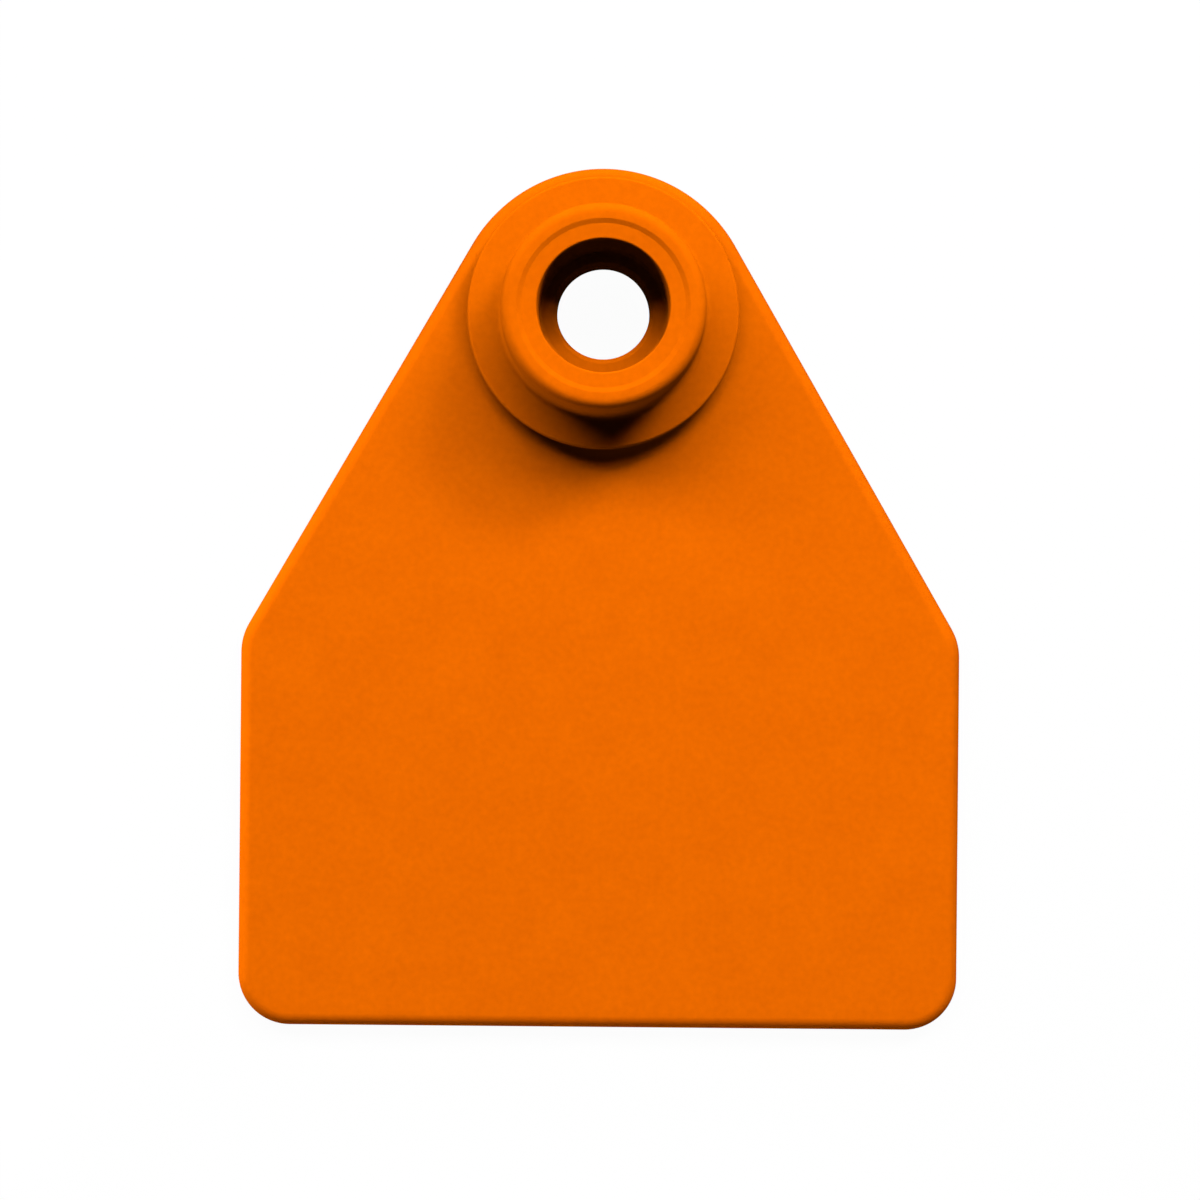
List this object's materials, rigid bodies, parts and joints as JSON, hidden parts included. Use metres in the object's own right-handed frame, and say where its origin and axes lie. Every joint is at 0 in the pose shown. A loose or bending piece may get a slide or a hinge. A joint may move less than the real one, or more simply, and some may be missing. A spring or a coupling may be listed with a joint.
{
  "type": "livestock ear tag",
  "caption": "Flat house-shaped plastic ear tag for livestock, with a rounded top that carries a flange, a tapered collar and a hole for the stud of its other half.",
  "frame": {"origin": "middle of the flat back, under the centre of the tag's bounding box", "axes": "+Z out of the front, along the collar; +Y towards the rounded top with the hole; +X to the right when the front is seen with the hole at the top"},
  "size_m": [0.05, 0.0598, 0.008],
  "materials": {
    "tag_plastic": "matte soft orange polyurethane, fine moulded grain, faintly mottled"
  },
  "bodies": {
    "root": {"ear_tag": "tag_plastic"}
  },
  "joints": []
}
